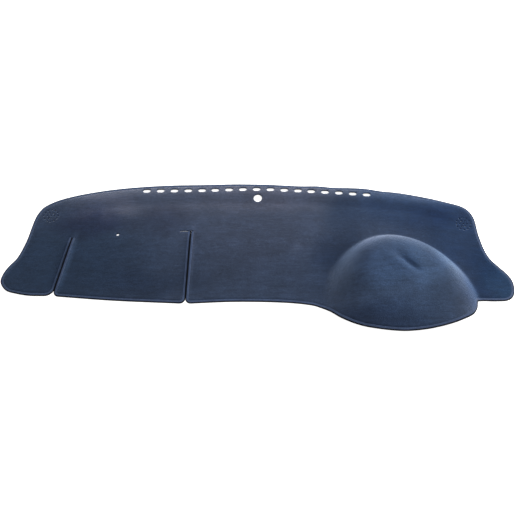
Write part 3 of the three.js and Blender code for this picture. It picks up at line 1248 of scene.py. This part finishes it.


# Patches of the pile's tone and of painted light and shade. The wide ones make it darker and bluer at the
# right, darker at the left and lighter along the windscreen edge, partly its own tone and partly painted
# light and shade.
TONE_AND_LIGHT_PATCHES = (
    ToneAndLightPatch((0.84, 0.28), (0.25, 0.24), (0.38, 0.56, 0.74)),
    ToneAndLightPatch((0.95, -0.33), (0.12, 0.16), (0.46, 0.78, 0.98)),
    ToneAndLightPatch((0.60, 0.60), (0.27, 0.12), (0.52, 0.68, 0.84)),
    ToneAndLightPatch((-0.78, -0.10), (0.40, 0.26), (0.58, 0.72, 0.80)),
    ToneAndLightPatch((-0.68, 0.44), (0.17, 0.07), (0.66, 0.62, 0.72)),
    ToneAndLightPatch((-0.64, 0.66), (0.15, 0.06), (1.7, 1.5, 1.4)),
    ToneAndLightPatch((-0.38, 0.48), (0.13, 0.07), (0.78, 0.74, 0.76)),
    ToneAndLightPatch((-0.40, -0.36), (0.20, 0.07), (0.70, 0.74, 0.78)),
    ToneAndLightPatch((-0.30, 0.80), (0.40, 0.10), (1.50, 1.30, 1.16)),
    ToneAndLightPatch((0.20, 0.80), (0.20, 0.09), (1.35, 1.20, 1.10)),
    ToneAndLightPatch((0.00, 0.40), (0.32, 0.24), (1.10, 1.00, 0.95)),
    # Painted shade over the hood's back-left crest and along its left side.
    ToneAndLightPatch((0.36, 0.00), (0.13, 0.12), (0.74, 0.76, 0.80)),
    ToneAndLightPatch((0.34, 0.15), (0.09, 0.30), (0.66, 0.74, 0.80)),
    # A narrow lighter streak.
    ToneAndLightPatch((0.155, 0.10), (0.02, 0.05), (1.25, 1.22, 1.20), -8.0),
    # Painted light on the hood's top and right shoulder.
    ToneAndLightPatch((0.60, -0.50), (0.20, 0.17), (1.25, 1.38, 1.42)),
    ToneAndLightPatch((0.50, -0.25), (0.12, 0.10), (1.05, 1.15, 1.22)),
    ToneAndLightPatch((0.66, -0.33), (0.09, 0.09), (1.32, 1.36, 1.36)),
    # Painted shade beside the hood's right foot and on its front rim.
    ToneAndLightPatch((0.84, -0.56), (0.07, 0.10), (0.60, 0.68, 0.80)),
    ToneAndLightPatch((0.45, -0.88), (0.22, 0.08), (0.60, 0.68, 0.78)),
    # Painted shade in the diagonal crease on the hood.
    ToneAndLightPatch((0.588, -0.290), (0.050, 0.011), (0.42, 0.48, 0.54), -38.0, False),
    # Painted highlights on the turned-up lips beside the two slits.
    ToneAndLightPatch((-0.750, -0.08), (0.017, 0.14), (1.8, 1.75, 1.7), -9.5, False),
    ToneAndLightPatch((-0.260, -0.10), (0.012, 0.16), (1.5, 1.4, 1.35), -1.6, False),
)
PILE = PileFinish("navy carpet pile", (0.006, 0.011, 0.024), (0.020, 0.033, 0.066), 0.75, 1.0, TONE_AND_LIGHT_PATCHES)
BACKING = PileFinish("navy carpet underside", (0.007, 0.011, 0.022), (0.018, 0.027, 0.050), 0.2, 0.6)
TAPE = TapeFinish("navy edge tape", (0.014, 0.022, 0.044), 0.4)
THREAD = ThreadFinish("navy thread", (0.0024, 0.0036, 0.0070))


@dataclass(frozen=True)
class Lamp:
    """A soft area light, with its width and depth and its power in watts."""

    name: str
    place: Triple
    target: Triple
    size: Place
    power: float

    def hang(self) -> None:
        """Makes the light and points it at its target."""
        data = bpy.data.lights.new(self.name, "AREA")
        data.shape = "RECTANGLE"
        data.size, data.size_y = self.size
        data.energy = self.power
        light = bpy.data.objects.new(self.name, data)
        light.location = self.place
        light.rotation_euler = (Vector(self.target) - Vector(self.place)).to_track_quat("-Z", "Y").to_euler()
        bpy.context.scene.collection.objects.link(light)


@dataclass(frozen=True)
class Studio:
    """The floor, the light and the camera, at the photograph's angle, distance and field of view."""

    elevation: float = math.radians(57)
    distance: float = 2.4
    focal_pixels: float = 831.0
    picture_pixels: float = 515.0
    sensor_width: float = 36.0
    target: Triple = (0.002, -0.003, 0.0)
    floor_reach: float = 8.0
    floor_drop: float = 0.0004
    floor_grey: float = 0.8
    floor_glow: float = 0.95
    surround: float = 0.4
    lamps: tuple[Lamp, ...] = (
        Lamp("window light", (0.60, 0.60, 1.30), (0.0, 0.0, 0.0), (1.0, 0.8), 25.0),
        Lamp("rear light", (0.0, 1.1, 1.0), (0.0, 0.0, 0.0), (1.0, 0.8), 11.0),
        Lamp("side light", (2.4, 0.5, 0.9), (0.3, -0.1, 0.05), (1.2, 0.9), 45.0),
    )

    def build(self) -> None:
        """Makes the whole setting."""
        self._floor()
        self._world()
        for lamp in self.lamps:
            lamp.hang()
        self._camera()

    def _floor(self) -> None:
        """Lays the white floor, bright to the camera but still shaded by the mat."""
        reach, low = self.floor_reach, -self.floor_drop
        corners = [(-reach, -reach, low), (reach, -reach, low), (reach, reach, low), (-reach, reach, low)]
        floor = new_mesh("floor", np.array(corners), [(0, 1, 2, 3)])
        nodes = Nodes("white floor")
        grey = (self.floor_grey, self.floor_grey, self.floor_grey, 1)
        floor.data.materials.append(
            nodes.finished({"Base Color": grey, "Roughness": 1.0, "Specular IOR Level": 0.0})
        )
        matt = nodes.shader.outputs[0]
        glow = nodes.add("ShaderNodeEmission", {"Strength": self.floor_glow}).outputs[0]
        bright = nodes.add("ShaderNodeAddShader", {0: matt, 1: glow}).outputs[0]
        seen = nodes.add("ShaderNodeLightPath").outputs["Is Camera Ray"]
        choice = nodes.add("ShaderNodeMixShader", {0: seen, 1: matt, 2: bright}).outputs[0]
        nodes.tree.links.new(choice, nodes.tree.nodes["Material Output"].inputs["Surface"])

    def _world(self) -> None:
        """Sets a plain white surround."""
        world = bpy.data.worlds.new("studio")
        world.use_nodes = True
        background = world.node_tree.nodes["Background"]
        background.inputs["Color"].default_value = (1, 1, 1, 1)
        background.inputs["Strength"].default_value = self.surround
        bpy.context.scene.world = world

    def _camera(self) -> None:
        """Sets the camera."""
        data = bpy.data.cameras.new("camera")
        data.sensor_width = self.sensor_width
        data.lens = data.sensor_width * self.focal_pixels / self.picture_pixels
        camera = bpy.data.objects.new("camera", data)
        back = Vector((0, -math.cos(self.elevation), math.sin(self.elevation)))
        camera.location = Vector(self.target) + back * self.distance
        camera.rotation_euler = (-back).to_track_quat("-Z", "Y").to_euler()
        bpy.context.scene.collection.objects.link(camera)
        bpy.context.scene.camera = camera


@dataclass(frozen=True)
class DashboardMat:
    """The whole mat: carpet sheet, edge tapes and stitches."""

    moulding: Moulding = Moulding()
    outline: Outline = Outline()
    openings: Openings = Openings()
    cloth: Cloth = Cloth()

    def build(self) -> None:
        """Builds and dresses every piece, and hides the CAD parts that the sheet and tapes replace."""
        pile, backing, tape, thread = (finish.make() for finish in (PILE, BACKING, TAPE, THREAD))
        carpet = CarpetSheet(self.moulding, self.outline, self.openings, self.cloth)
        sheet = self._dress(carpet.build(), Slot.CARPET, pile, backing)
        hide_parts("carpet_panel")
        edge_tape = EdgeTape("edge", self.outline.outer_edge(), self.moulding, self.cloth)
        flap_tape = EdgeTape("flap", self.outline.flap_edge(), self.moulding, self.cloth)
        trimmings = []
        for strip, node in ((edge_tape, "edge_binding"), (flap_tape, "flap_binding")):
            folded = self._dress(strip.build(), Slot.TAPE, tape)
            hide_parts(node)
            stitches = self._dress(strip.stitches(), Slot.TAPE, thread)
            trimmings += [folded, stitches]

    @staticmethod
    def _dress(piece: bpy.types.Object, slot: Slot, *materials: bpy.types.Material) -> bpy.types.Object:
        """Gives a piece its materials and its body.

        Args:
            piece: The piece.
            slot: The record's slot that it takes its finish from; not used.
            materials: Its materials in order.

        Returns:
            The piece.
        """
        for material in materials:
            piece.data.materials.append(material)
        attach(piece, "root")
        log.info("%s: %d faces", piece.name, len(piece.data.polygons))
        return piece


def main() -> None:
    """Builds the mat and its setting."""
    logging.basicConfig(level=logging.INFO, format="%(name)s %(message)s")
    bpy.context.scene.view_settings.view_transform = "Standard"
    Studio().build()
    DashboardMat().build()


if __name__ == "__main__":
    main()
